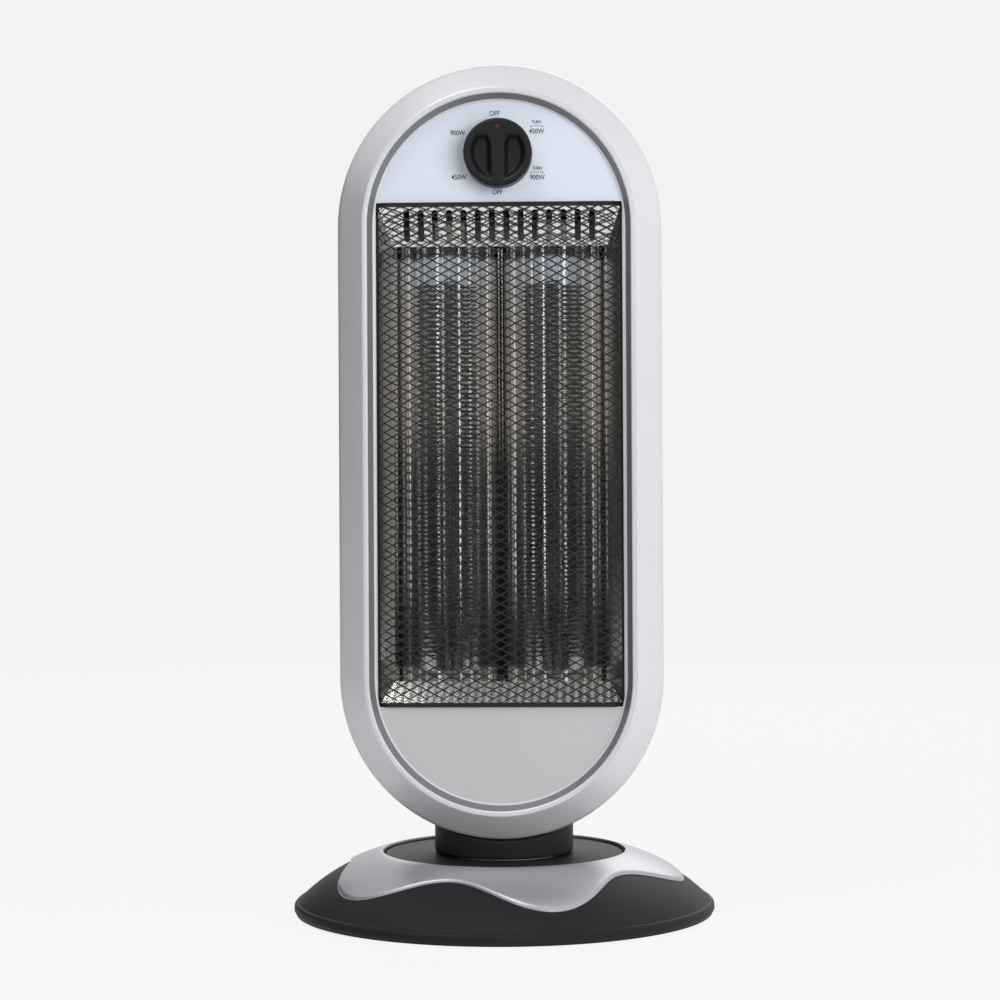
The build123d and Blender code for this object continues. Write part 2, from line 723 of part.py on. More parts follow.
# Gears with slim straight-flanked teeth
def tooth_points(teeth, first, count):
    """Corner points of a run of teeth, in order of rising angle."""
    pitch_radius = teeth * gear_module / 2
    pitch = pi * gear_module
    root = pitch_radius - 1.2 * gear_module
    tip = pitch_radius + 0.85 * gear_module
    root_half = (tooth_share * pitch + 0.85 * gear_module) / 2
    middle_half = tooth_share * pitch / 2
    tip_half = (tooth_share * pitch - 0.62 * gear_module) / 2
    steps = ((root, root_half, -1), (pitch_radius, middle_half, -1), (tip, tip_half, -1),
             (tip, tip_half, 1), (pitch_radius, middle_half, 1), (root, root_half, 1))
    points = []
    for tooth in range(first, first + count):
        middle = 2 * pi * tooth / teeth
        for radius, half, side in steps:
            angle = middle + side * half / radius
            points.append((radius * cos(angle), radius * sin(angle)))
    return points


# The sector's teeth point backwards, one of them on the centre line
with BuildPart() as sector_gear:
    with BuildSketch(Plane(origin=(0, 0, gear_bottom), x_dir=(0, 1, 0), z_dir=(0, 0, 1))):
        half_count = sector_span_teeth // 2
        rim = tooth_points(sector_teeth, -half_count, sector_span_teeth)
        with BuildLine():
            Polyline((0, 0), *rim, close=True)
        make_face()
        Circle(18)
        Circle(spigot_radius + screw_gap, mode=Mode.SUBTRACT)
    extrude(amount=gear_thickness)
save(sector_gear, "sector_gear")

retainer_thickness = 1.5
with BuildPart() as retaining_plate:
    upright(0, 0, gear_bottom - retainer_thickness, 16, retainer_thickness)
    upright(0, 0, gear_bottom - retainer_thickness, spigot_bore, retainer_thickness, Mode.SUBTRACT)
    for angle in (0, 120, 240):
        upright(10.2 * cos(radians(angle)), 10.2 * sin(radians(angle)),
                gear_bottom - retainer_thickness, 1.0 + screw_gap, retainer_thickness, Mode.SUBTRACT)
save(retaining_plate, "retaining_plate")

with BuildPart() as retaining_screws:
    for angle in (0, 120, 240):
        place = Plane(origin=(10.2 * cos(radians(angle)), 10.2 * sin(radians(angle)),
                              gear_bottom - retainer_thickness), x_dir=(1, 0, 0), z_dir=(0, 0, -1))
        screw(place, 1.6, 1.0, 1.0, retainer_thickness + 8)
save(retaining_screws, "retaining_screws")

# Drive pinion on the motor's shaft, turned so that a gap faces the sector
with BuildPart() as drive_pinion:
    with BuildSketch(Plane(origin=(0, axis_distance, gear_bottom - 0.4), x_dir=(0, -1, 0),
                           z_dir=(0, 0, 1)).rotated((0, 0, 180 / pinion_teeth))):
        with BuildLine():
            Polyline(*tooth_points(pinion_teeth, 0, pinion_teeth), close=True)
        make_face()
        Circle(3.0 + screw_gap, mode=Mode.SUBTRACT)
    extrude(amount=gear_thickness + 0.8)
save(drive_pinion, "drive_pinion")

motor_bottom = plate_top + 1.2
motor_top = motor_bottom + motor_height
with BuildPart() as motor_shaft:
    upright(0, axis_distance, motor_bottom + 4, 3.0, gear_top + 1.5 - motor_bottom - 4)
save(motor_shaft, "motor_shaft")

ear_places = ((-31.0, axis_distance), (31.0, axis_distance))
with BuildPart() as swing_motor:
    upright(0, axis_distance, motor_bottom, motor_radius, motor_height)
    upright(0, axis_distance, motor_top, 5.5, 1.2)
    for x, y in ear_places:
        with BuildSketch(Plane.XY.offset(motor_bottom)):
            with Locations((x * 0.84, y)):
                SlotOverall(22, 9)
        extrude(amount=1.5)
        upright(x, y, plate_top, 3.6, motor_bottom - plate_top)
        upright(x, y, plate_top - 1, 1.55, 6, Mode.SUBTRACT)
    upright(0, axis_distance, motor_bottom + 3.5, 3.0 + running_fit, motor_height, Mode.SUBTRACT)
save(swing_motor, "swing_motor")

with BuildPart() as motor_screws:
    for x, y in ear_places:
        place = Plane(origin=(x, y, motor_bottom + 1.5), z_dir=(0, 0, 1))
        screw(place, 3.0, 1.8, 1.5, 3.6)
save(motor_screws, "motor_screws")

# Base cover: a shallow dome with a ledge for the disc, on a short upright skirt
dome_points = ((142.0, 9.2), (122.0, 25.2), (84.2, 41.4))
(x1, y1), (x2, y2), (x3, y3) = dome_points
turn = 2 * ((x2 - x1) * (y3 - y1) - (x3 - x1) * (y2 - y1))
square_2 = x2 ** 2 - x1 ** 2 + y2 ** 2 - y1 ** 2
square_3 = x3 ** 2 - x1 ** 2 + y3 ** 2 - y1 ** 2
dome_r = ((y3 - y1) * square_2 - (y2 - y1) * square_3) / turn
dome_z = ((x2 - x1) * square_3 - (x3 - x1) * square_2) / turn
dome_radius = sqrt((x1 - dome_r) ** 2 + (y1 - dome_z) ** 2)


def dome_height(r, offset=0.0):
    return dome_z + sqrt((dome_radius + offset) ** 2 - (r - dome_r) ** 2)


ledge_radius = disc_radius + 1.0
dome_edge = 142.0
skirt_bottom = 1.2
boss_circle = 122.0
base_screw_angles = (0, 60, 120, 180, 240, 300)
with BuildPart() as base_cover:
    with BuildSketch(Plane.XZ):
        with BuildLine():
            Polyline((0, disc_bottom), (ledge_radius, disc_bottom), (ledge_radius, dome_height(84.2)),
                     (84.2, dome_height(84.2)))
            ThreePointArc((84.2, dome_height(84.2)), (118, dome_height(118)),
                          (dome_edge, dome_height(dome_edge)))
            Polyline((dome_edge, dome_height(dome_edge)), (base_radius - 1.6, 8.9),
                     (base_radius - 0.3, 7.4), (base_radius, 4.2), (base_radius - 1.5, skirt_bottom),
                     (base_radius - 1.5 - base_wall, skirt_bottom),
                     (base_radius - 1.5 - base_wall, dome_height(138.8, -base_wall)),
                     (138.8, dome_height(138.8, -base_wall)))
            ThreePointArc((138.8, dome_height(138.8, -base_wall)),
                          (115, dome_height(115, -base_wall)), (86, dome_height(86, -base_wall)))
            Polyline((86, dome_height(86, -base_wall)), (ledge_radius - 1, disc_bottom - base_wall),
                     (0, disc_bottom - base_wall), (0, disc_bottom))
        make_face()
    revolve(axis=Axis.Z)
    for angle in base_screw_angles:
        x = boss_circle * cos(radians(angle))
        y = boss_circle * sin(radians(angle))
        upright(x, y, plate_top + fit_gap, 5.0, dome_height(boss_circle + 5) - plate_top - 2.4)
        upright(x, y, plate_top, screw_radius + screw_gap, 12, Mode.SUBTRACT)
    upright(0, 0, disc_bottom - base_wall, spigot_radius + running_fit + bush_wall + screw_gap,
            base_wall, Mode.SUBTRACT)
    round_bar(Plane(origin=(0, gland_start, gland_height), x_dir=(-1, 0, 0), z_dir=(0, 1, 0)),
              gland_radius + screw_gap, base_radius - gland_start, Mode.SUBTRACT)
save(base_cover, "base_cover")

with BuildPart() as base_disc:
    upright(0, 0, disc_bottom, disc_radius, disc_thickness)
    fillet(base_disc.edges().sort_by(Axis.Z)[-1], radius=1.0)
    upright(0, 0, disc_bottom, spigot_radius + running_fit + bush_wall + screw_gap, disc_thickness,
            Mode.SUBTRACT)
    with BuildSketch(Plane.XY.offset(disc_top - 1)):
        Circle(glide_outer + screw_gap)
        Circle(glide_inner - screw_gap, mode=Mode.SUBTRACT)
    extrude(amount=1, mode=Mode.SUBTRACT)
save(base_disc, "base_disc")

# Base trim: a collar over the dome whose outer edge swings in and out in five waves.
# Each turn of the edge is an angle from the front, rising towards +X, and a radius.
trim_inner = ledge_radius + 0.6
trim_turns = ((-51, 128.3), (-18, 103), (17, 129.3), (51, 103.5), (84, 124.2), (124, 104),
              (163, 126), (197, 104), (231, 126), (270, 107), (309, 128.3))
wave_steps = 4


def wave_points():
    points = []
    for (start, low), (end, high) in zip(trim_turns, trim_turns[1:]):
        for step in range(wave_steps):
            share = step / wave_steps
            angle = radians(start + (end - start) * share - 90)
            radius = low + (high - low) * (1 - cos(pi * share)) / 2
            points.append((radius * cos(angle), radius * sin(angle)))
    return points


with BuildPart() as base_trim:
    with BuildSketch(Plane.XZ):
        with BuildLine():
            low = trim_gap
            high = trim_gap + trim_thickness
            ThreePointArc((trim_inner, dome_height(trim_inner, low)), (110, dome_height(110, low)),
                          (134, dome_height(134, low)))
            Line((134, dome_height(134, low)), (134, dome_height(134, high)))
            ThreePointArc((134, dome_height(134, high)), (110, dome_height(110, high)),
                          (trim_inner, dome_height(trim_inner, high)))
            Line((trim_inner, dome_height(trim_inner, high)), (trim_inner, dome_height(trim_inner, low)))
        make_face()
    revolve(axis=Axis.Z)
    with BuildSketch(Plane.XY):
        with BuildLine():
            Spline(*wave_points(), periodic=True)
        make_face()
    extrude(amount=60, mode=Mode.INTERSECT)
save(base_trim, "base_trim")

# Base plate, its screws and the feet
foot_circle = 112.0
foot_angles = (45, 135, 225, 315)
switch_x, switch_y = switch_place
with BuildPart() as base_plate:
    upright(0, 0, plate_bottom, base_radius - 1.5 - base_wall - 0.5, plate_thickness)
    for angle in base_screw_angles:
        upright(boss_circle * cos(radians(angle)), boss_circle * sin(radians(angle)), plate_bottom,
                screw_radius + 2 * screw_gap, plate_thickness, Mode.SUBTRACT)
    for angle in foot_angles:
        upright(foot_circle * cos(radians(angle)), foot_circle * sin(radians(angle)), plate_bottom,
                3.0 + screw_gap, plate_thickness, Mode.SUBTRACT)
    upright(switch_x, switch_y, plate_bottom, 5.0, plate_thickness, Mode.SUBTRACT)
    for x, y in ear_places:
        upright(x, y, plate_top - 1, 1.55, 1, Mode.SUBTRACT)
save(base_plate, "base_plate")

with BuildPart() as base_screws:
    for angle in base_screw_angles:
        place = Plane(origin=(boss_circle * cos(radians(angle)), boss_circle * sin(radians(angle)),
                              plate_bottom), x_dir=(1, 0, 0), z_dir=(0, 0, -1))
        screw(place, 3.4, 1.6, screw_radius, 11)
save(base_screws, "base_screws")

with BuildPart() as rubber_feet:
    for angle in foot_angles:
        x = foot_circle * cos(radians(angle))
        y = foot_circle * sin(radians(angle))
        upright(x, y, 0, foot_radius, foot_height)
        upright(x, y, foot_height, 3.0, plate_thickness)
        upright(x, y, plate_top, 3.8, 2.0)
save(rubber_feet, "rubber_feet")

# Cord gland through the back of the base
with BuildPart() as cord_gland:
    back_way = Plane(origin=(0, gland_start, gland_height), x_dir=(-1, 0, 0), z_dir=(0, 1, 0))
    round_bar(back_way, gland_radius, base_radius - 0.5 - gland_start)
    round_bar(back_way, gland_radius + 2, 3.0)
    round_bar(back_way, gland_bore, base_radius - gland_start, Mode.SUBTRACT)
save(cord_gland, "cord_gland")

# Tip-over switch: a housing over the plate, a sprung plunger that the floor holds up
housing_top = 27.0
collar_low = plate_top + plunger_travel + 0.8
collar_high = collar_low + 1.5
spring_top = housing_top - 2.5
with BuildPart() as tip_switch:
    upright(switch_x, switch_y, plate_top, 10.5, housing_top - plate_top)
    block(switch_x - 9, switch_x + 9, switch_y + 6, switch_y + 20, plate_top, housing_top - 4)
    upright(switch_x, switch_y, plate_top, 7.3, spring_top - plate_top, Mode.SUBTRACT)
save(tip_switch, "tip_switch")

with BuildPart() as tip_plunger:
    upright(switch_x, switch_y, 0, 6.5, 1.2)
    upright(switch_x, switch_y, 1.0, 3.4, collar_low)
    upright(switch_x, switch_y, collar_low, 6.6, collar_high - collar_low)
    upright(switch_x, switch_y, collar_high, 3.0, 7.0)
save(tip_plunger, "tip_plunger")

with BuildPart() as plunger_spring:
    upright(switch_x, switch_y, collar_high, 6.2, spring_top - collar_high)
    upright(switch_x, switch_y, collar_high, 4.2, spring_top - collar_high, Mode.SUBTRACT)
save(plunger_spring, "plunger_spring")

# Terminal block and wiring in the base
with BuildPart() as base_terminal_block:
    block(-18, 18, 88, 104, plate_top, plate_top + 12)
save(base_terminal_block, "base_terminal_block")

wire_z = plate_top + 8
with BuildPart() as base_wiring:
    wire_run([(0, gland_start - 2, gland_height), (0, 112, gland_height),
              (0, 104 + clear_gap, wire_z)], 2.0, 6)
    wire_run([(-12, 88 - clear_gap, wire_z), (-12, 82, wire_z), (-44, 70, wire_z),
              (switch_x - 2, switch_y + 32, wire_z), (switch_x - 2, switch_y + 20 + clear_gap, wire_z)],
             1.6, 5)
    wire_run([(12, 88 - clear_gap, wire_z), (12, 82, wire_z), (10, axis_distance + 23.2, wire_z)],
             1.6, 4)
save(base_wiring, "base_wiring")
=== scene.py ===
import json
from math import cos, hypot, pi, radians, sin, sqrt

import bmesh
import bpy
from mathutils import Euler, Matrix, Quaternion, Vector


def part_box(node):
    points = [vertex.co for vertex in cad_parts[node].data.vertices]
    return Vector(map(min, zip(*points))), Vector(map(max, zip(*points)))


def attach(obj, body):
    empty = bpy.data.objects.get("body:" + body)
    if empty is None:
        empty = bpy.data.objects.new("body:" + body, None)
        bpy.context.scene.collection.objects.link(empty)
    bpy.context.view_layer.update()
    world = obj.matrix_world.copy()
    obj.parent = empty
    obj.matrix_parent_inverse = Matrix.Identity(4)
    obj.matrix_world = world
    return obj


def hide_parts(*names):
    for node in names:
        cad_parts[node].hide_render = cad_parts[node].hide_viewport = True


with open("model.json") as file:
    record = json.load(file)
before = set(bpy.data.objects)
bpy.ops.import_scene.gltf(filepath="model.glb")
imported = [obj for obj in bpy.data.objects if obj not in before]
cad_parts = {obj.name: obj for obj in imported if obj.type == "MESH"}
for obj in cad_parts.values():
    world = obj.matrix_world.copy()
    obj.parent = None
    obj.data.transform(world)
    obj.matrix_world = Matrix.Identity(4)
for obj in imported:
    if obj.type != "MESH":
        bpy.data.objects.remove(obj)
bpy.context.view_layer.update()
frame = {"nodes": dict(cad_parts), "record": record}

nodes = frame["nodes"]
mm = 0.001


# A socket that can be used in plain arithmetic
class Value:
    def __init__(self, tree, socket):
        self.tree = tree
        self.socket = socket

    def math(self, operation, other, swapped=False):
        made = self.tree.nodes.new("ShaderNodeMath")
        made.operation = operation
        pair = (other, self) if swapped else (self, other)
        for slot, term in zip(made.inputs, pair):
            if isinstance(term, Value):
                self.tree.links.new(term.socket, slot)
            else:
                slot.default_value = term
        return Value(self.tree, made.outputs[0])

    def __add__(self, other):
        return self.math("ADD", other)

    def __sub__(self, other):
        return self.math("SUBTRACT", other)

    def __rsub__(self, other):
        return self.math("SUBTRACT", other, True)

    def __mul__(self, other):
        return self.math("MULTIPLY", other)

    __radd__ = __add__
    __rmul__ = __mul__


# A node tree: every node but the arithmetic above comes from add
class Nodes:
    def __init__(self, tree):
        self.tree = tree

    def add(self, kind, settings, inputs, output=0):
        made = self.tree.nodes.new(kind)
        for key, setting in settings.items():
            if key == "stops":
                while len(made.color_ramp.elements) < len(setting):
                    made.color_ramp.elements.new(0.5)
                for element, (position, colour) in zip(made.color_ramp.elements, setting):
                    element.position = position
                    element.color = colour
            else:
                setattr(made, key, setting)
        for key, given in inputs.items():
            self.give(made.inputs[key], given)
        return Value(self.tree, made.outputs[output])

    def give(self, slot, given):
        if isinstance(given, Value):
            self.tree.links.new(given.socket, slot)
        else:
            slot.default_value = given

    def blend(self, factor, first, second):
        first, second = [given if isinstance(given, Value) else (*given, 1) for given in (first, second)]
        return self.add("ShaderNodeMix", {"data_type": "RGBA"}, {0: factor, 6: first, 7: second}, 2)

    # 1 where the lens sees the surface, straight on or by a reflection or through glass
    def seenByLens(self):
        camera, gloss, glass = [self.add("ShaderNodeLightPath", {}, {}, ray) for ray in
                                ("Is Camera Ray", "Is Glossy Ray", "Is Transmission Ray")]
        return camera.math("MAXIMUM", gloss).math("MAXIMUM", glass)


# One finish: a material with a Principled shader and the piece's own coordinates
class Finish(Nodes):
    def __init__(self, name):
        self.material = bpy.data.materials.new(name)
        self.material.use_nodes = True
        super().__init__(self.material.node_tree)
        self.shader = self.tree.nodes["Principled BSDF"]
        self.place = self.add("ShaderNodeTexCoord", {}, {}, "Object")

    def set(self, **given):
        for key, term in given.items():
            self.give(self.shader.inputs[key.replace("_", " ")], term)

    def noise(self, scale, detail, stretch=(1, 1, 1)):
        spread = self.add("ShaderNodeMapping", {}, {"Vector": self.place, "Scale": stretch})
        return self.add("ShaderNodeTexNoise", {}, {"Vector": spread, "Scale": scale, "Detail": detail},
                        "Fac")

    def relief(self, height, strength, depth, edge=0.0):
        inputs = {"Height": height, "Strength": strength, "Distance": depth}
        if edge:
            inputs["Normal"] = self.add("ShaderNodeBevel", {"samples": bevelSamples}, {"Radius": edge})
        self.set(Normal=self.add("ShaderNodeBump", {}, inputs))

    def surface(self, shader):
        self.tree.nodes.remove(self.shader)
        self.tree.links.new(shader.socket, self.tree.nodes["Material Output"].inputs["Surface"])


bevelSamples = 4
paint = {"flakeDetail": 3, "cloudScale": 9, "cloudDetail": 2, "roughSpread": 0.10, "relief": 0.12,
         "depth": 0.00005, "stops": ((0.45, (0, 0, 0, 1)), (0.75, (1, 1, 1, 1)))}


# Silver paint: a slow tint under fine bright flakes
def paintFinish(name, look):
    made = Finish(name)
    flake = made.noise(look["flakeScale"], paint["flakeDetail"])
    cloud = made.noise(paint["cloudScale"], paint["cloudDetail"])
    tint = made.blend(cloud, look["colour"], look["shade"])
    bright = made.add("ShaderNodeValToRGB", {"stops": paint["stops"]}, {"Fac": flake}, "Color")
    made.set(Base_Color=made.blend(bright, tint, look["spark"]), Metallic=look["metallic"],
             Roughness=flake * paint["roughSpread"] + look["roughness"], Coat_Weight=look["coat"],
             Coat_Roughness=look["coatRoughness"])
    made.relief(flake, paint["relief"], paint["depth"], look["edge"])
    return made


# Panel paint with painted light: a pale blue painted sky reflection near the dial, fading by height to a
# darker warm painted floor reflection, a painted shade, towards the foot
def reflectionShadedPanelFinish(name, look):
    made = paintFinish(name, look)
    # Painted light: the colour fades with height from the foot's darker warm painted shade to the pale blue
    # painted sky reflection by the dial
    height = made.add("ShaderNodeSeparateXYZ", {}, {"Vector": made.place}, "Z")
    paintedReflectionRise = made.add("ShaderNodeMapRange", {}, {"Value": height, "From Min": look["low"],
                                               "From Max": look["high"]})
    cloud = made.noise(paint["cloudScale"], paint["cloudDetail"])
    flake = made.noise(look["flakeScale"], paint["flakeDetail"])
    tint = made.blend(paintedReflectionRise, look["foot"], look["colour"])
    mix = flake * look["flakeShare"] + cloud * look["cloudShare"]
    made.set(Base_Color=made.blend(mix, tint, look["spark"]))
    return made


plastic = {"grainDetail": 4, "patchScale": 14, "patchDetail": 2, "grainRough": 0.12, "patchRough": 0.08,
           "depth": 0.00012}


# Moulded plastic, enamel, rubber, ceramic and ink: a fine grain over slow patches
def plasticFinish(name, look):
    made = Finish(name)
    grain = made.noise(look["grainScale"], plastic["grainDetail"])
    patch = made.noise(plastic["patchScale"], plastic["patchDetail"])
    rough = grain * plastic["grainRough"] + patch * plastic["patchRough"] + look["roughness"]
    made.set(Base_Color=made.blend(patch, look["colour"], look["shade"]), Roughness=rough,
             Specular_IOR_Level=look["specular"])
    made.relief(grain, look["relief"], plastic["depth"], look["edge"])
    return made


metal = {"streakDetail": 3, "cloudScale": 22, "cloudDetail": 2, "depth": 0.00004}


# Sheet steel and carbon: streaks drawn out along the rolling direction
def metalFinish(name, look):
    made = Finish(name)
    streak = made.noise(look["streakScale"], metal["streakDetail"], look["stretch"])
    cloud = made.noise(metal["cloudScale"], metal["cloudDetail"])
    made.set(Base_Color=made.blend(cloud, look["colour"], look["shade"]), Metallic=look["metallic"],
             Roughness=streak * look["spread"] + look["roughness"])
    made.relief(streak, look["relief"], metal["depth"], look["edge"])
    return made


quartz = {"hazeScale": 40, "hazeDetail": 2, "stretch": (6, 6, 0.4), "clear": (0.97, 0.985, 1.0),
          "milky": (0.94, 0.96, 0.98), "spread": 0.02, "ior": 1.46, "relief": 0.03, "depth": 0.00005}


# Quartz glass with a faint drawn haze
def quartzFinish(name):
    made = Finish(name)
    haze = made.noise(quartz["hazeScale"], quartz["hazeDetail"], quartz["stretch"])
    made.set(Base_Color=made.blend(haze, quartz["clear"], quartz["milky"]),
             Roughness=haze * quartz["spread"], Transmission_Weight=1.0, IOR=quartz["ior"])
    made.relief(haze, quartz["relief"], quartz["depth"])
    return made


silverLook = {"colour": (0.58, 0.585, 0.605), "shade": (0.53, 0.535, 0.555), "spark": (0.70, 0.705, 0.73),
              "flakeScale": 2600, "metallic": 0.42, "roughness": 0.36, "coat": 0.12,
              "coatRoughness": 0.3, "edge": 0.0}
wallLook = {"colour": (0.20, 0.20, 0.21), "shade": (0.17, 0.17, 0.18), "spark": (0.27, 0.27, 0.28),
            "flakeScale": 2600, "metallic": 0.5, "roughness": 0.40, "coat": 0.1,
            "coatRoughness": 0.3, "edge": 0.0}
collarLook = {"colour": (0.36, 0.365, 0.40), "shade": (0.32, 0.325, 0.355), "spark": (0.46, 0.465, 0.50),
              "flakeScale": 2600, "metallic": 0.55, "roughness": 0.30, "coat": 0.15,
              "coatRoughness": 0.25, "edge": 0.0}
# The panel's pale blue colour and its darker warm foot colour are painted reflection and painted shade on
# one silver sheet
panelLook = {"colour": (0.53, 0.585, 0.66), "shade": (0.50, 0.55, 0.62), "spark": (0.57, 0.60, 0.65),
             "foot": (0.37, 0.36, 0.35), "low": 0.13, "high": 0.50, "flakeScale": 3400,
             "flakeShare": 0.5, "cloudShare": 0.2, "metallic": 0.25, "roughness": 0.36, "coat": 0.15,
             "coatRoughness": 0.3, "edge": 0.0003}
blackLook = {"colour": (0.008, 0.0083, 0.009), "shade": (0.011, 0.0113, 0.012), "grainScale": 1500,
             "roughness": 0.46, "specular": 0.18, "relief": 0.18, "edge": 0.0007}
rearLook = {"colour": (0.022, 0.022, 0.024), "shade": (0.028, 0.028, 0.030), "grainScale": 900,
            "roughness": 0.5, "specular": 0.28, "relief": 0.35, "edge": 0.0009}
knobLook = {"colour": (0.004, 0.004, 0.0045), "shade": (0.006, 0.006, 0.0065), "grainScale": 1800,
            "roughness": 0.30, "specular": 0.35, "relief": 0.10, "edge": 0.0016}
rubberLook = {"colour": (0.020, 0.020, 0.020), "shade": (0.030, 0.029, 0.028), "grainScale": 700,
              "roughness": 0.68, "specular": 0.3, "relief": 0.4, "edge": 0.0006}
wireLook = {"colour": (0.006, 0.006, 0.006), "shade": (0.010, 0.010, 0.010), "grainScale": 1200,
            "roughness": 0.38, "specular": 0.4, "relief": 0.15, "edge": 0.0}
mouldedLook = {"colour": (0.62, 0.61, 0.57), "shade": (0.56, 0.55, 0.51), "grainScale": 800,
               "roughness": 0.5, "specular": 0.4, "relief": 0.2, "edge": 0.0004}
ceramicLook = {"colour": (0.70, 0.68, 0.63), "shade": (0.62, 0.60, 0.55), "grainScale": 500,
               "roughness": 0.72, "specular": 0.3, "relief": 0.5, "edge": 0.0005}
dotLook = {"colour": (0.06, 0.009, 0.011), "shade": (0.045, 0.007, 0.008), "grainScale": 3000,
           "roughness": 0.4, "specular": 0.4, "relief": 0.05, "edge": 0.0002}
inkLook = {"colour": (0.02, 0.022, 0.03), "shade": (0.03, 0.032, 0.04), "grainScale": 4000,
           "roughness": 0.5, "specular": 0.3, "relief": 0.05, "edge": 0.0}
mirrorLook = {"colour": (0.80, 0.79, 0.77), "shade": (0.74, 0.73, 0.71), "streakScale": 60,
              "stretch": (9, 9, 0.25), "metallic": 1.0, "spread": 0.05, "roughness": 0.07,
              "relief": 0.10, "edge": 0.0}
platedLook = {"colour": (0.55, 0.56, 0.57), "shade": (0.46, 0.47, 0.47), "streakScale": 120,
              "stretch": (6, 1, 1), "metallic": 1.0, "spread": 0.15, "roughness": 0.30,
              "relief": 0.2, "edge": 0.0003}
carbonLook = {"colour": (0.07, 0.07, 0.072), "shade": (0.10, 0.098, 0.095), "streakScale": 500,
              "stretch": (1, 1, 1), "metallic": 0.4, "spread": 0.2, "roughness": 0.34,
              "relief": 0.3, "edge": 0.0}


finishes = {
    "silver_plastic": paintFinish("silverPaint", silverLook),
    "panel_silver": reflectionShadedPanelFinish("panelSilverPaintedReflection", panelLook),
    "black_wire": plasticFinish("blackEnamel", wireLook),
    "polished_steel": metalFinish("polishedSteel", mirrorLook),
    "quartz": quartzFinish("quartzGlass"),
    "carbon": metalFinish("carbonWinding", carbonLook),
    "ceramic_white": plasticFinish("ceramic", ceramicLook),
    "plated_steel": metalFinish("platedSteel", platedLook),
    "black_plastic": plasticFinish("blackPlastic", blackLook),
    "black_gloss": plasticFinish("knobPlastic", knobLook),
    "red_dot": plasticFinish("redInlay", dotLook),
    "wire_cover": plasticFinish("wireCover", rubberLook),
    "natural_plastic": plasticFinish("mouldedPlastic", mouldedLook),
    "rubber_black": plasticFinish("blackRubber", rubberLook),
}
wallPaint = paintFinish("wallPaint", wallLook)
collarPaint = paintFinish("collarPaint", collarLook)
rearPlastic = plasticFinish("rearPlastic", rearLook)
dialInk = plasticFinish("dialInk", inkLook)
print("finishes made")


def coat(node, finish):
    materials = nodes[node].data.materials
    materials.clear()
    materials.append(finish.material)


for entry in frame["record"]["subparts"]:
    coat(entry["node"], finishes[entry["material_slot"]])
coat("rear_cover", rearPlastic)


# A mesh piece with smooth faces and sharp edges past an angle in degrees
def addPiece(name, points, faces, body, finish, sharpAngle, stands=()):
    shape = bpy.data.meshes.new(name)
    shape.from_pydata(points, [], faces)
    work = bmesh.new()
    work.from_mesh(shape)
    bmesh.ops.recalc_face_normals(work, faces=work.faces)
    work.to_mesh(shape)
    work.free()
    shape.materials.append(finish.material)
    shape.shade_smooth()
    shape.set_sharp_from_angle(angle=radians(sharpAngle))
    piece = bpy.data.objects.new(name, shape)
    bpy.context.scene.collection.objects.link(piece)
    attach(piece, body)
    if stands:
        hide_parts(*stands)
    return piece


# Faces between rings that have the same number of points
def ringFaces(rings, count, closed=True):
    faces = []
    last = rings if closed else rings - 1
    for ring in range(last):
        nextRing = (ring + 1) % rings
        for step in range(count):
            nextStep = (step + 1) % count
            faces.append((ring * count + step, ring * count + nextStep,
                          nextRing * count + nextStep, nextRing * count + step))
    return faces


# Places read from the frame
bezelLow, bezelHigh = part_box("front_bezel")
headRadius = (bezelHigh.x - bezelLow.x) / 2
headMiddle = (bezelHigh.z + bezelLow.z) / 2
headStraight = bezelHigh.z - bezelLow.z - 2 * headRadius
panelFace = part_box("front_panel")[0].y
guardLow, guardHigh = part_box("guard_mesh")
reflectorLow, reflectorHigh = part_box("reflector")
knobLow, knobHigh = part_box("control_knob")
knobMiddle = (knobLow.z + knobHigh.z) / 2


def stadiumRing(radius, y, arcSteps):
    points = []
    for arc, centre in ((0, headMiddle + headStraight / 2), (1, headMiddle - headStraight / 2)):
        for step in range(arcSteps + 1):
            angle = pi * arc + pi * step / arcSteps
            points.append((radius * cos(angle), y, centre + radius * sin(angle)))
    return points


# A closed outline whose corners (x, y, radius) are rounded
def roundedProfile(corners, steps):
    points = []
    for index, (x, y, radius) in enumerate(corners):
        if not radius:
            points.append((x, y))
            continue
        before = Vector(corners[index - 1][:2])
        here = Vector((x, y))
        after = Vector(corners[(index + 1) % len(corners)][:2])
        start = here + (before - here).normalized() * radius
        end = here + (after - here).normalized() * radius
        for step in range(steps + 1):
            share = step / steps
            point = start.lerp(here, share).lerp(here.lerp(end, share), share)
            points.append((point.x, point.y))
    return points


# Bezel: a lofted ring with softened edges, a darker inner wall and a bead along the panel
bezel = {"bandWidth": 17 * mm, "bandDepth": 16 * mm, "bandRound": 3.0 * mm, "rimWidth": 3.9 * mm,
         "rimDrop": 0.5 * mm, "rimRound": 1.3 * mm, "rimStep": 0.7 * mm, "stepRound": 0.4 * mm,
         "lipRound": 0.9 * mm, "rimSlope": 3.6 * mm, "wallDepth": 8 * mm, "sheet": 2.4 * mm,
         "skirtDrop": 2 * mm, "bead": 1.2 * mm, "beadHeight": 0.7 * mm, "beadLip": 0.5 * mm,
         "beadRound": 0.2 * mm, "wallFrom": 0.9 * mm, "wallTo": 0.8 * mm, "arcSteps": 48,
         "cornerSteps": 5, "sharp": 32}


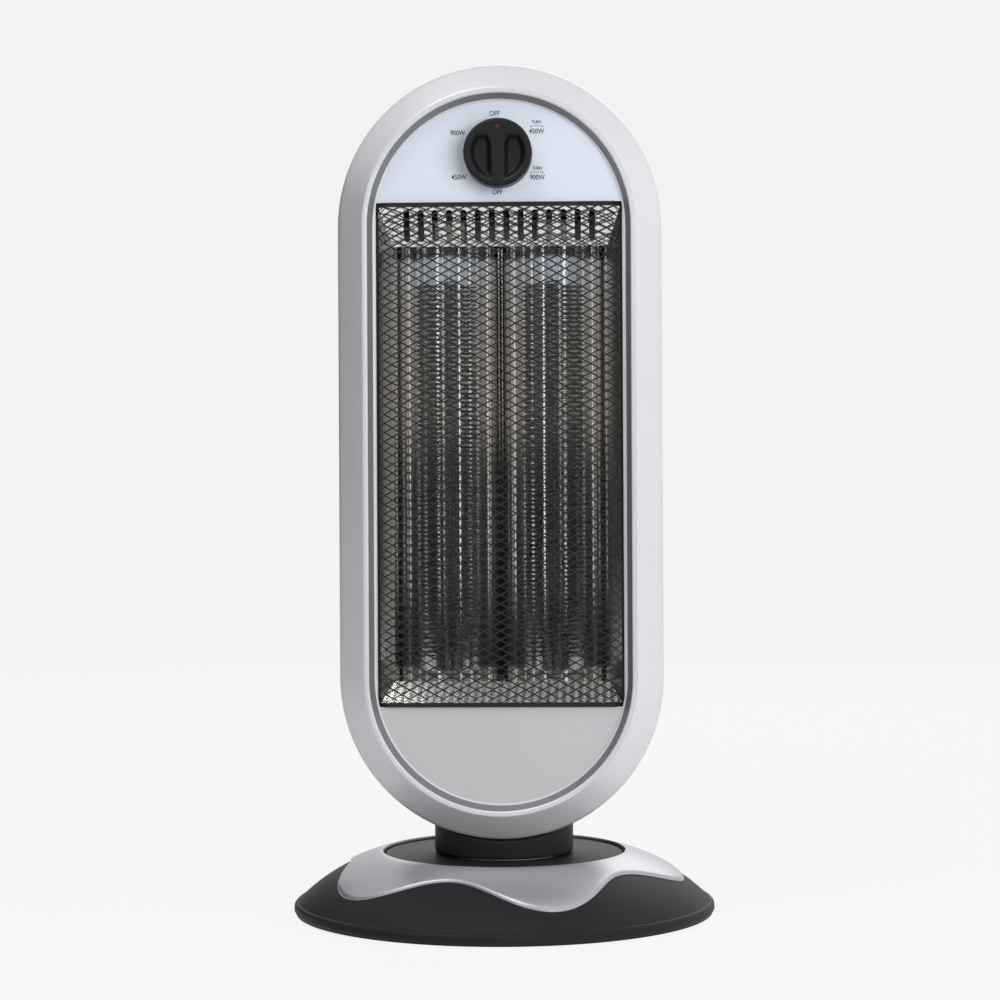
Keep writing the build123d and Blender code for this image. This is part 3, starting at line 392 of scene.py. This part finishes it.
def bezelCorners(rimInner, wallBack):
    front = bezelLow.y
    back = bezelHigh.y
    rimOuter = headRadius - bezel["bandWidth"]
    bandBack = front + bezel["bandDepth"]
    opening = rimInner - bezel["rimSlope"]
    beadEdge = opening - bezel["bead"]
    sheet = bezel["sheet"]
    return [(headRadius, back, 0), (headRadius, bandBack, bezel["bandRound"]),
            (rimOuter, front + bezel["rimDrop"], bezel["rimRound"]),
            (rimOuter - bezel["rimStep"], front, bezel["stepRound"]), (rimInner, front, bezel["lipRound"]),
            (opening, wallBack - bezel["beadHeight"], 0),
            (beadEdge, wallBack - bezel["beadLip"], bezel["beadRound"]), (beadEdge, wallBack, 0),
            (opening + sheet, wallBack, 0), (rimInner + sheet, front + sheet, 0),
            (headRadius - sheet, bandBack + bezel["skirtDrop"], 0), (headRadius - sheet, back, 0)]


def makeBezel():
    rimInner = headRadius - bezel["bandWidth"] - bezel["rimWidth"]
    wallBack = bezelLow.y + bezel["wallDepth"]
    profile = roundedProfile(bezelCorners(rimInner, wallBack), bezel["cornerSteps"])
    rings = [stadiumRing(radius, y, bezel["arcSteps"]) for radius, y in profile]
    points = [point for ring in rings for point in ring]
    shell = addPiece("bezelShell", points, ringFaces(len(rings), len(rings[0])), "head",
                     finishes["silver_plastic"], bezel["sharp"], ["front_bezel"])
    shell.data.materials.append(wallPaint.material)
    for face in shell.data.polygons:
        centre = face.center
        if bezelLow.y + bezel["wallFrom"] < centre.y < wallBack - bezel["wallTo"]:
            nearest = max(-headStraight / 2, min(headStraight / 2, centre.z - headMiddle))
            if hypot(centre.x, centre.z - headMiddle - nearest) < rimInner:
                face.material_index = 1


makeBezel()
print("bezel made")


# Guard: expanded metal folded round the two sides of the window
guard = {"cellWidth": 11.2 * mm, "rows": 55, "strand": 0.90 * mm, "sheet": 0.6 * mm,
         "flatHalf": 76.5 * mm, "rearGap": 1.0 * mm, "sharp": 60}
guardFace = guardLow.y + guard["sheet"] / 2
flankWidth = guardHigh.x - guard["sheet"] - guard["flatHalf"]
flankRun = hypot(flankWidth, guardHigh.y - guardLow.y - guard["sheet"])


# The place on the folded sheet at a distance along it from its middle
def onGuard(along):
    side = 1 if along > 0 else -1
    over = abs(along) - guard["flatHalf"]
    if over <= 0:
        return along, guardFace
    share = over / flankRun
    return (side * (guard["flatHalf"] + share * flankWidth),
            guardFace + share * (guardHigh.y - guardLow.y - guard["rearGap"]))


def makeGuard():
    cellHeight = (guardHigh.z - guardLow.z) / guard["rows"]
    reach = guard["flatHalf"] + flankRun
    columns = int(reach / (guard["cellWidth"] / 2))
    index = {}
    points = []
    faces = []

    def corner(i, k):
        if (i, k) not in index:
            x, y = onGuard(i * guard["cellWidth"] / 2)
            index[i, k] = len(points)
            points.append((x, y, guardLow.z + k * cellHeight / 2))
        return index[i, k]

    for k in range(1, 2 * guard["rows"]):
        for i in range(-columns + 1, columns):
            if (i + k) % 2:
                faces.append((corner(i - 1, k), corner(i, k - 1), corner(i + 1, k), corner(i, k + 1)))
    piece = addPiece("guardNet", points, faces, "head", finishes["black_wire"],
                     guard["sharp"], ["guard_mesh"])
    work = bmesh.new()
    work.from_mesh(piece.data)
    cells = list(work.faces)
    bmesh.ops.inset_individual(work, faces=cells, thickness=guard["strand"] / 2, use_even_offset=True)
    bmesh.ops.delete(work, geom=cells, context="FACES")
    work.to_mesh(piece.data)
    work.free()
    sheet = piece.modifiers.new("sheet", "SOLIDIFY")
    sheet.thickness = guard["sheet"]
    sheet.offset = 0


makeGuard()
print("guard made")


# Reflector: smooth troughs and wings in thin polished sheet
trough = {"radius": 34.5 * mm, "offset": 36 * mm, "axis": -17 * mm, "low": 161.5 * mm,
          "high": 458 * mm, "throat": 73 * mm, "throatY": -26 * mm, "sheet": 0.8 * mm, "steps": 40,
          "sharp": 30}


def troughLine(sheet):
    line = [(trough["throat"] + sheet, trough["throatY"])]
    for step in range(trough["steps"] + 1):
        angle = pi * step / trough["steps"]
        line.append((trough["offset"] + (trough["radius"] + sheet) * cos(angle),
                     trough["axis"] + (trough["radius"] + sheet) * sin(angle)))
    return line + [(-x, y) for x, y in reversed(line)]


def makeReflector():
    rows = troughLine(0) + troughLine(trough["sheet"])
    points = [(x, y, z) for z in (trough["low"], trough["high"]) for x, y in rows]
    count = len(rows) // 2
    faces = []
    for step in range(count - 1):
        for a, b in ((0, 2), (1, 3), (0, 1), (2, 3)):  # inside, outside, foot and top
            faces.append((a * count + step, a * count + step + 1, b * count + step + 1, b * count + step))
    wing = ((trough["throat"], trough["throatY"]), (reflectorHigh.x - trough["sheet"], reflectorLow.y),
            (reflectorHigh.x, reflectorLow.y), (trough["throat"] + trough["sheet"], trough["throatY"]))
    for side in (1, -1):
        first = len(points)
        points += [(side * x, y, z) for z in (reflectorLow.z, reflectorHigh.z) for x, y in wing]
        faces += [(first + a, first + (a + 1) % 4, first + 4 + (a + 1) % 4, first + 4 + a) for a in range(4)]
        faces += [tuple(range(first, first + 4)), tuple(range(first + 4, first + 8))]
    addPiece("reflectorSkin", points, faces, "head", finishes["polished_steel"],
             trough["sharp"], ["reflector"])


makeReflector()
print("reflector made")


# Quartz tubes and their windings
tube = {"wall": 1.0 * mm, "steps": 48, "sharp": 40}
coil = {"pitch": 3.12 * mm, "wire": 0.55 * mm, "radius": 4.25 * mm, "steps": 14, "roundness": 1}


def makeTube(name, node):
    low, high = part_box(node)
    middle = (low + high) / 2
    outer = (high.x - low.x) / 2
    inner = outer - tube["wall"]
    rings = [(inner, low.z), (outer, low.z), (outer, high.z), (inner, high.z)]
    points = []
    for radius, z in rings:
        for step in range(tube["steps"]):
            angle = 2 * pi * step / tube["steps"]
            points.append((middle.x + radius * cos(angle), middle.y + radius * sin(angle), z))
    addPiece(name, points, ringFaces(len(rings), tube["steps"]), "head", finishes["quartz"],
             tube["sharp"], [node])


def makeWinding(name, node):
    low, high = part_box(node)
    tubeLow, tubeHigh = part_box(node.replace("heating_coil", "quartz_tube"))
    middle = (tubeLow + tubeHigh) / 2
    turns = round((high.z - low.z) / coil["pitch"])
    count = turns * coil["steps"]
    wireShape = bpy.data.curves.new(name, "CURVE")
    wireShape.dimensions = "3D"
    wireShape.bevel_depth = coil["wire"]
    wireShape.bevel_resolution = coil["roundness"]
    line = wireShape.splines.new("POLY")
    line.points.add(count)
    for step in range(count + 1):
        angle = 2 * pi * step / coil["steps"]
        z = low.z + coil["wire"] + (high.z - low.z - 2 * coil["wire"]) * step / count
        line.points[step].co = (middle.x + coil["radius"] * cos(angle),
                                middle.y + coil["radius"] * sin(angle), z, 1)
    wireShape.materials.append(finishes["carbon"].material)
    piece = bpy.data.objects.new(name, wireShape)
    bpy.context.scene.collection.objects.link(piece)
    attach(piece, "head")
    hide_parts(node)


for side in ("left", "right"):
    makeTube("tubeGlass_" + side, "quartz_tube_" + side)
    makeWinding("winding_" + side, "heating_coil_" + side)
print("heating tubes made")


# Knob: a turned disc with two soft finger scoops beside the grip bar
knob = {"scoopRadius": 19.4 * mm, "scoopTop": 12.6 * mm, "grip": 3.3 * mm, "flareFrom": 4 * mm,
        "flare": 4.2 * mm, "depth": 5 * mm, "soft": 4.6 * mm, "edge": 1.4 * mm, "edgeSteps": 5,
        "backRim": 2 * mm, "markerRoom": 1.35 * mm, "markerPocket": 0.4 * mm, "rings": 64, "steps": 200,
        "sharp": 50}


def scoopDepth(x, z):
    flare = max(0, min(1, (z - knob["flareFrom"]) / (knob["scoopTop"] - knob["flareFrom"])))
    bar = knob["grip"] + knob["flare"] * flare ** 2
    inside = min(knob["scoopRadius"] - hypot(x, z), abs(x) - bar, knob["scoopTop"] - z)
    share = max(0, min(1, inside / knob["soft"]))
    return knob["depth"] * share * share * (3 - 2 * share)


def makeKnob():
    markerLow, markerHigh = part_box("knob_marker")
    marker = (markerLow + markerHigh) / 2
    outer = (knobHigh.x - knobLow.x) / 2
    middleX = (knobHigh.x + knobLow.x) / 2
    flat = outer - knob["edge"]
    rings = [(flat * (ring + 1) / knob["rings"], None) for ring in range(knob["rings"])]
    for part in range(1, knob["edgeSteps"] + 1):
        bend = pi / 2 * part / knob["edgeSteps"]
        rings.append((flat + knob["edge"] * sin(bend), knobLow.y + knob["edge"] * (1 - cos(bend))))
    rings += [(outer, knobHigh.y), (outer - knob["backRim"], knobHigh.y)]
    steps = knob["steps"]
    points = [(middleX, knobLow.y, knobMiddle)]
    for radius, ringY in rings:
        for step in range(steps):
            angle = 2 * pi * step / steps
            x = radius * cos(angle)
            z = radius * sin(angle)
            y = ringY
            if y is None:  # the face: scooped, with a pocket for the marker
                y = knobLow.y + scoopDepth(x, z)
                if hypot(x + middleX - marker.x, z + knobMiddle - marker.z) < knob["markerRoom"]:
                    y += knob["markerPocket"]
            points.append((middleX + x, y, knobMiddle + z))
    faces = [(0, 1 + step, 1 + (step + 1) % steps) for step in range(steps)]
    faces += [tuple(corner + 1 for corner in face) for face in ringFaces(len(rings), steps, False)]
    faces.append(tuple(range(len(points) - steps, len(points))))
    addPiece("knobCap", points, faces, "knob", finishes["black_gloss"], knob["sharp"],
             ["control_knob"])


makeKnob()
print("knob made")


# Pleated dust filter behind the upper rear louvres
dustFilter = {"half": 35 * mm, "low": 418 * mm, "high": 497 * mm, "front": 39.2 * mm, "back": 41.6 * mm,
              "folds": 34, "sheet": 0.4 * mm, "sharp": 20}


def makeFilter():
    points = []
    steps = 2 * dustFilter["folds"]
    for layer in (0, dustFilter["sheet"]):
        for step in range(steps + 1):
            z = dustFilter["low"] + (dustFilter["high"] - dustFilter["low"]) * step / steps
            y = (dustFilter["front"], dustFilter["back"] - dustFilter["sheet"])[step % 2] + layer
            points += [(-dustFilter["half"], y, z), (dustFilter["half"], y, z)]
    count = 2 * (steps + 1)
    faces = []
    for step in range(steps):
        a = 2 * step
        faces.append((a, a + 1, a + 3, a + 2))
        faces.append((count + a, count + a + 1, count + a + 3, count + a + 2))
        faces.append((a, a + 2, count + a + 2, count + a))
        faces.append((a + 1, a + 3, count + a + 3, count + a + 1))
    faces += [(0, 1, count + 1, count), (count - 2, count - 1, 2 * count - 1, 2 * count - 2)]
    addPiece("dustFilter", points, faces, "head", finishes["wire_cover"],
             dustFilter["sharp"])


makeFilter()
print("dust filter made")


# Dial print, a hair proud of the panel: each word with its place from the knob's middle in mm,
# and whether it is small
dial = {"letterHeight": 3.3 * mm, "smallHeight": 2.0 * mm, "capShare": 0.70, "lift": 0.04 * mm,
        "narrow": 0.84, "bold": 0.08 * mm, "arrows": ((26.0, 19.3), (26.0, -11.9)),
        "words": (("OFF", -2.4, 27.8, 0), ("OFF", -0.8, -25.4, 0), ("900W", -27.5, 14.8, 0),
                  ("450W", -26.8, -15.1, 0), ("450W", 25.9, 15.5, 0), ("900W", 26.3, -15.6, 0),
                  ("TURN", 25.9, 21.8, 1), ("TURN", 26.3, -9.4, 1))}


def makeDial():
    for number, (word, x, z, small) in enumerate(dial["words"]):
        text = bpy.data.curves.new("dialWord" + str(number), "FONT")
        text.body = word
        text.align_x = "CENTER"
        text.align_y = "CENTER"
        text.size = (dial["smallHeight"] if small else dial["letterHeight"]) / dial["capShare"]
        text.extrude = dial["lift"] / 2
        text.offset = dial["bold"]
        text.materials.append(dialInk.material)
        piece = bpy.data.objects.new("dialWord" + str(number), text)
        bpy.context.scene.collection.objects.link(piece)
        piece.rotation_euler = (pi / 2, 0, 0)
        piece.scale = (dial["narrow"], 1, 1)
        piece.location = (x * mm, panelFace - dial["lift"] / 2, knobMiddle + z * mm)
        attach(piece, "head")
    for number, (x, z) in enumerate(dial["arrows"]):
        makeArrow("swingArrow" + str(number), x * mm, knobMiddle + z * mm)


# The barb's three corners are in shares of the tip: outwards, upwards
arrow = {"half": 3.9 * mm, "thick": 0.16 * mm, "sag": 0.25 * mm, "tip": 0.75 * mm, "steps": 12,
         "barb": ((1, -0.4), (-0.6, 0.7), (-0.4, -0.9)), "sharp": 60}


# A two-headed swing arrow that sags a little towards its ends
def makeArrow(name, x, z):
    half = arrow["half"]
    y = panelFace - dial["lift"]
    steps = arrow["steps"]
    points = []
    for step in range(steps + 1):
        along = -half + 2 * half * step / steps
        sag = arrow["sag"] * (along / half) ** 2
        points.append((x + along, y, z - sag + arrow["thick"]))
        points.append((x + along, y, z - sag - arrow["thick"]))
    faces = [(2 * step, 2 * step + 2, 2 * step + 3, 2 * step + 1) for step in range(steps)]
    for side in (-1, 1):
        first = len(points)
        points += [(x + side * (half + arrow["tip"] * out), y, z - arrow["sag"] + arrow["tip"] * up)
                   for out, up in arrow["barb"]]
        faces.append((first, first + 1, first + 2))
    addPiece(name, points, faces, "head", dialInk, arrow["sharp"])


makeDial()
print("dial printed")


# Base trim: the wavy collar with a rounded outer lip
# Its turning points are (degrees from the front towards +X, radius in mm)
collar = {"thickness": 1.75 * mm, "gap": 0.15 * mm, "inner": 83.6 * mm, "innerDrop": 0.8 * mm,
          "innerStep": 0.3 * mm, "innerRise": 0.2 * mm, "innerFlat": 1.0 * mm, "topSteps": 8,
          "lip": 2.2 * mm, "lipSteps": 5, "lipFullness": 0.8, "underLips": 3, "steps": 360, "sharp": 50,
          "turns": ((-51, 128.3), (-18, 103), (17, 129.3), (51, 103.5), (84, 124.2), (124, 104),
                    (163, 126), (197, 104), (231, 126), (270, 107), (309, 128.3))}
dome = {"points": ((142.0, 9.2), (122.0, 25.2), (84.2, 41.4))}  # radius and height in mm


# The circle through the dome's three points
def domeArc():
    (x1, y1), (x2, y2), (x3, y3) = dome["points"]
    turn = 2 * ((x2 - x1) * (y3 - y1) - (x3 - x1) * (y2 - y1))
    square2 = x2 ** 2 - x1 ** 2 + y2 ** 2 - y1 ** 2
    square3 = x3 ** 2 - x1 ** 2 + y3 ** 2 - y1 ** 2
    r = ((y3 - y1) * square2 - (y2 - y1) * square3) / turn
    z = ((x2 - x1) * square3 - (x3 - x1) * square2) / turn
    return r * mm, z * mm, hypot(x1 - r, y1 - z) * mm


domeR, domeZ, domeRadius = domeArc()


def domeHeight(radius, offset):
    return domeZ + sqrt((domeRadius + offset) ** 2 - (radius - domeR) ** 2)


def collarEdge(angle):
    turns = collar["turns"]
    angle = turns[0][0] + (angle - turns[0][0]) % 360
    for (start, low), (end, high) in zip(turns, turns[1:]):
        if start <= angle <= end:
            share = (angle - start) / (end - start)
            return (low + (high - low) * (1 - cos(pi * share)) / 2) * mm


# One cut through the collar: (radius, height above the dome)
def collarRow(edge):
    bottom = collar["gap"]
    top = bottom + collar["thickness"]
    inner = collar["inner"]
    flat = inner + collar["innerFlat"]
    lipStart = edge - collar["lip"]
    row = [(inner, bottom), (inner, top - collar["innerDrop"]),
           (inner + collar["innerStep"], top - collar["innerRise"]), (flat, top)]
    for part in range(1, collar["topSteps"] + 1):
        row.append((flat + (lipStart - flat) * part / collar["topSteps"], top))
    for part in range(1, collar["lipSteps"] + 1):
        bend = pi / 2 * part / collar["lipSteps"]
        row.append((lipStart + collar["lip"] * sin(bend),
                    bottom + collar["thickness"] * cos(bend) ** collar["lipFullness"]))
    row.append((edge - collar["underLips"] * collar["lip"], bottom))
    return row


def makeCollar():
    points = []
    for step in range(collar["steps"]):
        angle = 360 * step / collar["steps"]
        row = collarRow(collarEdge(angle))
        direction = radians(angle - 90)
        for radius, offset in row:
            points.append((radius * cos(direction), radius * sin(direction), domeHeight(radius, offset)))
    addPiece("collarShell", points, ringFaces(collar["steps"], len(row)), "base",
             collarPaint, collar["sharp"], ["base_trim"])


makeCollar()
print("collar made")


# Floor, studio cards and lights
studio = {"white": 0.888, "floorShare": 0.92, "floorGlow": 0.955, "floorMatt": 0.80, "daylight": 0.16,
          "floorSize": 24.0}


def stageMesh(name, points, faces, material):
    shape = bpy.data.meshes.new(name)
    shape.from_pydata(points, [], faces)
    shape.materials.append(material)
    piece = bpy.data.objects.new(name, shape)
    bpy.context.scene.collection.objects.link(piece)
    return piece


# The floor glows for the lens and keeps a share of matt, which takes the shadow
def floorMaterial():
    made = Finish("paleFloor")
    matt = made.add("ShaderNodeBsdfDiffuse", {}, {"Color": (*[studio["floorMatt"]] * 3, 1)})
    glow = made.add("ShaderNodeEmission", {}, {"Color": (*[studio["floorGlow"]] * 3, 1), "Strength": 1.0})
    made.surface(made.add("ShaderNodeMixShader", {},
                          {0: made.seenByLens() * studio["floorShare"], 1: matt, 2: glow}))
    return made.material


def makeFloor():
    half = studio["floorSize"] / 2
    points = [(-half, -half, 0), (half, -half, 0), (half, half, 0), (-half, half, 0)]
    stageMesh("studioFloor", points, [(0, 1, 2, 3)], floorMaterial())


def makeWorld():
    world = bpy.data.worlds.new("studioAir")
    bpy.context.scene.world = world
    world.use_nodes = True
    air = Nodes(world.node_tree)
    back = air.tree.nodes["Background"]
    air.give(back.inputs["Color"], (1, 1, 1, 1))
    air.give(back.inputs["Strength"],
             air.seenByLens() * (studio["white"] - studio["daylight"]) + studio["daylight"])


# Cards that only reflections and glass show: radius, start and end angle, low and high edge, colour
cardSteps = 32
cards = {"lowCard": (2.5, -55, 55, 0.002, 0.35, (0.03, 0.03, 0.031)),
         "highCard": (2.5, -55, 55, 0.35, 0.606, (0.42, 0.385, 0.33)),
         "leftStrip": (2.4, -27, -22, 0.1, 1.5, (2.4, 2.4, 2.4)),
         "rightStrip": (2.4, 22, 27, 0.1, 1.5, (2.4, 2.4, 2.4)),
         "skyCard": (2.5, -55, 55, 0.606, 1.5, (0.60, 0.66, 0.76)),
         "leftCard": (2.6, -150, -57, 0.002, 1.6, (0.03, 0.03, 0.032))}
nearFloor = {"half": 1.2, "near": -0.78, "far": -2.6, "height": 0.003, "level": (0.02, 0.02, 0.02)}


def addCard(name, points, faces, colour):
    made = Finish(name)
    made.surface(made.add("ShaderNodeEmission", {}, {"Color": (*colour, 1), "Strength": 1.0}))
    card = stageMesh(name, points, faces, made.material)
    card.visible_camera = False
    card.visible_diffuse = False
    card.visible_shadow = False


def makeCards():
    for name, (radius, start, end, low, high, colour) in cards.items():
        points = []
        for step in range(cardSteps + 1):
            angle = radians(-90 + start + (end - start) * step / cardSteps)
            points += [(radius * cos(angle), radius * sin(angle), z) for z in (low, high)]
        faces = [(2 * step, 2 * step + 2, 2 * step + 3, 2 * step + 1) for step in range(cardSteps)]
        addCard(name, points, faces, colour)
    half = nearFloor["half"]
    corners = [(-half, nearFloor["near"]), (half, nearFloor["near"]), (half, nearFloor["far"]),
               (-half, nearFloor["far"])]
    addCard("floorCard", [(x, y, nearFloor["height"]) for x, y in corners], [(0, 1, 2, 3)],
            nearFloor["level"])


# Each lamp: place, size, power, seen in gloss
lamps = {"key": ((1.15, -2.0, 0.66), 1.5, 62, False), "rightSoft": ((2.2, -0.4, 1.0), 1.2, 7, False),
         "topSoft": ((-0.6, -0.9, 2.0), 1.0, 14, True), "backSoft": ((0.3, 1.8, 1.4), 1.6, 14, True)}


def makeLamps():
    aim = Vector((0, 0, headMiddle))
    for name, (place, size, power, inGloss) in lamps.items():
        light = bpy.data.lights.new(name, "AREA")
        light.shape = "SQUARE"
        light.size = size
        light.energy = power
        lamp = bpy.data.objects.new(name, light)
        lamp.location = place
        lamp.visible_glossy = inGloss
        lamp.visible_transmission = inGloss
        lamp.rotation_euler = (aim - Vector(place)).to_track_quat("-Z", "Y").to_euler()
        bpy.context.scene.collection.objects.link(lamp)


makeFloor()
makeWorld()
makeCards()
makeLamps()
print("studio made")


# Camera: level, at the photograph's distance and height in metres and its angles in degrees
view = {"distance": 1.85, "height": 0.310, "azimuth": 2.0, "roll": 0.30, "sensor": 36, "focalPixels": 2673,
        "imageWidth": 1000, "axisX": 502.2, "horizonY": 463.4}


def makeCamera():
    lens = bpy.data.cameras.new("photoLens")
    lens.sensor_width = view["sensor"]
    lens.lens = view["sensor"] * view["focalPixels"] / view["imageWidth"]
    lens.shift_x = (view["imageWidth"] / 2 - view["axisX"]) / view["imageWidth"]
    lens.shift_y = (view["horizonY"] - view["imageWidth"] / 2) / view["imageWidth"]
    camera = bpy.data.objects.new("photoCamera", lens)
    turn = radians(view["azimuth"])
    camera.location = (view["distance"] * sin(turn), -view["distance"] * cos(turn), view["height"])
    camera.rotation_mode = "QUATERNION"
    bpy.context.scene.collection.objects.link(camera)
    level = Euler((pi / 2, 0, turn)).to_quaternion()
    camera.rotation_quaternion = level @ Quaternion((0, 0, 1), radians(-view["roll"]))
    bpy.context.scene.camera = camera


makeCamera()
bpy.context.scene.view_settings.view_transform = "Standard"
print("camera set")
